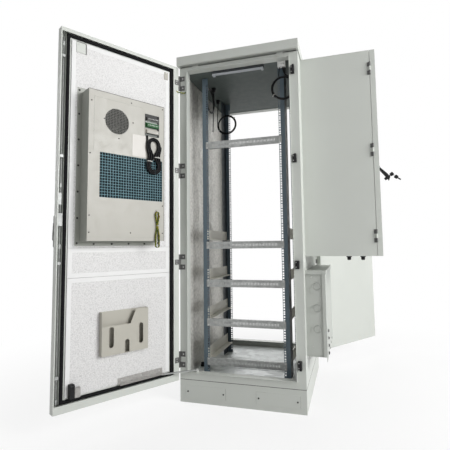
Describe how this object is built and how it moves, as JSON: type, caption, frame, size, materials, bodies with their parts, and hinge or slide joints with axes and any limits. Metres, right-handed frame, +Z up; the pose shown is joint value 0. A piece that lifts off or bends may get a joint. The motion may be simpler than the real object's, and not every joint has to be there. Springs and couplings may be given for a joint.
{
  "type": "outdoor telecom equipment cabinet",
  "caption": "Outdoor rack cabinet standing on a plinth, front and rear doors open, with an air conditioner built into the front door, a lockable side box and a cable hood.",
  "frame": {"origin": "centre of the plinth on the floor", "axes": "+Z up, the front doorway faces -Y, +X to the right seen from the front"},
  "size_m": [1.7289, 2.0878, 2.052],
  "materials": {
    "light_paint": "light grey textured powder coat, satin",
    "inner_paint": "blue-grey powder coat, satin",
    "dark_paint": "dark grey paint, matt",
    "beige_paint": "beige-grey paint, satin",
    "ac_white": "off-white powder coat, satin",
    "zinc": "zinc plated sheet steel",
    "foil": "embossed aluminium foil on foam",
    "teal_fins": "coated fins",
    "teal_mesh": "light teal-grey coated mesh",
    "black_plastic": "moulded, fine texture",
    "white_plastic": "moulded, smooth",
    "dark_plastic": "moulded, fine texture",
    "gasket_rubber": "closed-cell foam rubber, matt",
    "cable_black": "soft cable sheath",
    "cable_earth": "yellow and green cable sheath"
  },
  "bodies": {
    "cabinet": {"plinth": "light_paint", "plinth_covers": "light_paint", "front_frame": "light_paint", "rear_frame": "light_paint", "left_wall": "light_paint", "right_wall": "light_paint", "floor_pan": "zinc", "cable_glands": "black_plastic", "ceiling_panel": "dark_paint", "roof_cap": "light_paint", "wall_insulation": "foil", "rack_posts_front": "inner_paint", "rack_posts_rear": "inner_paint", "cross_bars": "zinc", "support_rails": "beige_paint", "lock_keepers": "black_plastic", "frame_hinges": "zinc", "led_lamp": "white_plastic", "terminal_block": "white_plastic", "side_box": "light_paint", "side_box_plate": "zinc", "cable_hood": "light_paint", "hood_cap": "light_paint", "coil_right": "cable_black", "coil_left_front": "cable_black", "coil_left_rear": "cable_black"},
    "front_door": {"front_door_panel": "light_paint", "front_door_gasket": "gasket_rubber", "front_door_insulation": "foil", "front_door_hinges": "zinc", "front_handle_base": "black_plastic", "lock_fittings": "zinc", "ac_housing": "ac_white", "ac_face_panel": "ac_white", "ac_coil_guard": "teal_mesh", "ac_coil": "teal_fins", "ac_control_panel": "dark_plastic", "ac_outer_cover": "light_paint", "document_pocket": "beige_paint", "stay_rail": "light_paint", "ac_cord_hank": "cable_black", "earth_bundle": "cable_earth"},
    "ac_fan": {"ac_fan": "dark_plastic"},
    "front_spindle": {"front_handle_spindle": "zinc"},
    "front_lever": {"front_handle_lever": "black_plastic"},
    "front_upper_rod": {"front_upper_rod": "zinc"},
    "front_lower_rod": {"front_lower_rod": "zinc"},
    "stay_arm": {"stay_arm": "zinc"},
    "rear_door": {"rear_door_panel": "light_paint", "rear_door_gasket": "gasket_rubber", "rear_door_insulation": "foil", "rear_handle_base": "black_plastic"},
    "rear_spindle": {"rear_handle_spindle": "zinc"},
    "rear_lever": {"rear_handle_lever": "black_plastic"},
    "rear_upper_rod": {"rear_upper_rod": "zinc"},
    "rear_lower_rod": {"rear_lower_rod": "zinc"},
    "side_door": {"side_box_door": "light_paint", "side_handle_base": "black_plastic"},
    "side_spindle": {"side_handle_spindle": "zinc"},
    "side_lever": {"side_handle_lever": "black_plastic"}
  },
  "joints": [
    {"name": "front_door_hinge", "type": "hinge", "parent": "cabinet", "child": "front_door", "pos_m": [-0.3645, -0.438, 1.06], "axis": [0, 0, 1], "range_deg": [0, 120.6]},
    {"name": "ac_fan_spin", "type": "hinge", "parent": "front_door", "child": "ac_fan", "pos_m": [-0.54101, -0.85433, 1.54388], "axis": [0.8607, -0.509, 0], "continuous": true},
    {"name": "front_handle_turn", "type": "hinge", "parent": "front_door", "child": "front_spindle", "pos_m": [-0.74872, -1.01892, 1.03], "axis": [-0.8607, 0.509, 0], "range_deg": [0, 90]},
    {"name": "front_handle_lift", "type": "hinge", "parent": "front_spindle", "child": "front_lever", "pos_m": [-0.77307, -1.00451, 1.03], "axis": [0.509, 0.8607, 0], "range_deg": [0, 60]},
    {"name": "front_upper_rod_slide", "type": "slide", "parent": "front_door", "child": "front_upper_rod", "axis": [0, 0, 1], "range_m": [0, 0.022]},
    {"name": "front_lower_rod_slide", "type": "slide", "parent": "front_door", "child": "front_lower_rod", "axis": [0, 0, -1], "range_m": [0, 0.022]},
    {"name": "stay_arm_pivot", "type": "hinge", "parent": "cabinet", "child": "stay_arm", "pos_m": [-0.2625, -0.416, 0.182], "axis": [0, 0, 1], "range_deg": [0, 136.39]},
    {"name": "rear_door_hinge", "type": "hinge", "parent": "cabinet", "child": "rear_door", "pos_m": [0.3645, 0.438, 1.06], "axis": [0, 0, 1], "range_deg": [0, 124]},
    {"name": "rear_handle_turn", "type": "hinge", "parent": "rear_door", "child": "rear_spindle", "pos_m": [0.78249, 0.99511, 1.03], "axis": [0.829, -0.5592, 0], "range_deg": [0, 90]},
    {"name": "rear_handle_lift", "type": "hinge", "parent": "rear_spindle", "child": "rear_lever", "pos_m": [0.80595, 0.97928, 1.03], "axis": [-0.5592, -0.829, 0], "range_deg": [0, 60]},
    {"name": "rear_upper_rod_slide", "type": "slide", "parent": "rear_door", "child": "rear_upper_rod", "axis": [0, 0, 1], "range_m": [0, 0.022]},
    {"name": "rear_lower_rod_slide", "type": "slide", "parent": "rear_door", "child": "rear_lower_rod", "axis": [0, 0, -1], "range_m": [0, 0.022]},
    {"name": "side_door_hinge", "type": "hinge", "parent": "cabinet", "child": "side_door", "pos_m": [0.7505, -0.3183, 1.4], "axis": [0, 0, -1], "range_deg": [0, 110]},
    {"name": "side_handle_turn", "type": "hinge", "parent": "side_door", "child": "side_spindle", "pos_m": [0.7795, 0.103, 1.39454], "axis": [-1, 0, 0], "range_deg": [0, 90]},
    {"name": "side_handle_lift", "type": "hinge", "parent": "side_spindle", "child": "side_lever", "pos_m": [0.8078, 0.103, 1.39454], "axis": [0, -1, 0], "range_deg": [-37, 23]}
  ],
  "couplings": [
    {"joint": "front_lower_rod_slide", "follows": "front_upper_rod_slide", "ratio": 1},
    {"joint": "front_handle_turn", "follows": "front_upper_rod_slide", "rad_per_m": 71.39},
    {"joint": "rear_lower_rod_slide", "follows": "rear_upper_rod_slide", "ratio": 1},
    {"joint": "rear_handle_turn", "follows": "rear_upper_rod_slide", "rad_per_m": 71.39},
    {"joint": "stay_arm_pivot", "follows": "front_door_hinge", "ratio": 1.1284}
  ]
}
